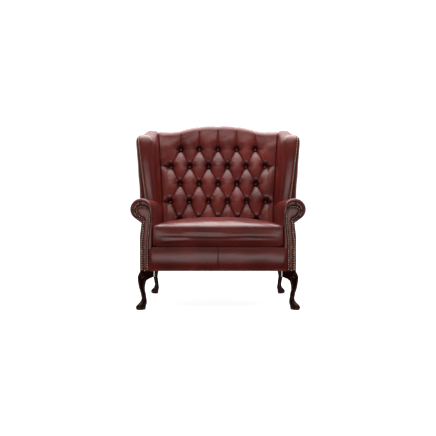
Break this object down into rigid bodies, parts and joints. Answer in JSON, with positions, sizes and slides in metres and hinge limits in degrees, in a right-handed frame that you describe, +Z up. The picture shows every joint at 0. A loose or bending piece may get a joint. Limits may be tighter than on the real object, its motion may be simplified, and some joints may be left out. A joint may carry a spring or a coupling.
{
  "type": "wing loveseat",
  "caption": "High-backed wing loveseat in buttoned leather with rolled arms, one loose seat cushion, a camel top, brass nailing and dark cabriole legs.",
  "frame": {"origin": "on the floor, under the middle of the outer box", "axes": "+Z up, the sitter faces -Y, +X to the right as seen from the front"},
  "size_m": [1.0344, 0.8186, 1.123],
  "materials": {
    "leather": "antiqued oxblood, satin",
    "button_leather": "antiqued oxblood, satin",
    "nail_brass": "antique brass, dull",
    "leg_mahogany": "dark mahogany, polished",
    "frame_timber": "raw beech",
    "webbing": "woven",
    "platform_cloth": "woven",
    "bottom_cloth": "woven",
    "bolt_steel": "zinc plated"
  },
  "bodies": {
    "frame": {"back_buttons": "button_leather", "back_pad": "leather", "back_webbing": "webbing", "centre_seat_rail": "frame_timber", "corner_blocks": "frame_timber", "dust_cover": "bottom_cloth", "front_border": "leather", "front_left_leg": "leg_mahogany", "front_rail": "frame_timber", "front_right_leg": "leg_mahogany", "left_arm_facing": "leather", "left_arm_pad": "leather", "left_arm_rail": "frame_timber", "left_back_post": "frame_timber", "left_front_post": "frame_timber", "left_outside_arm": "leather", "left_outside_wing": "leather", "left_side_rail": "frame_timber", "left_tuck_rail": "frame_timber", "left_wing_board": "frame_timber", "left_wing_pad": "leather", "leg_bolts": "bolt_steel", "lower_back_rail": "frame_timber", "outside_back": "leather", "rear_left_leg": "leg_mahogany", "rear_rail": "frame_timber", "rear_right_leg": "leg_mahogany", "right_arm_facing": "leather", "right_arm_pad": "leather", "right_arm_rail": "frame_timber", "right_back_post": "frame_timber", "right_front_post": "frame_timber", "right_outside_arm": "leather", "right_outside_wing": "leather", "right_side_rail": "frame_timber", "right_tuck_rail": "frame_timber", "right_wing_board": "frame_timber", "right_wing_pad": "leather", "seat_deck": "platform_cloth", "seat_webbing": "webbing", "top_rail": "frame_timber"},
    "cushion": {"seat_cushion": "leather"}
  },
  "joints": [
    {"name": "cushion_lift", "type": "slide", "parent": "frame", "child": "cushion", "axis": [0, 0, 1], "range_m": [0, 0.3]}
  ]
}
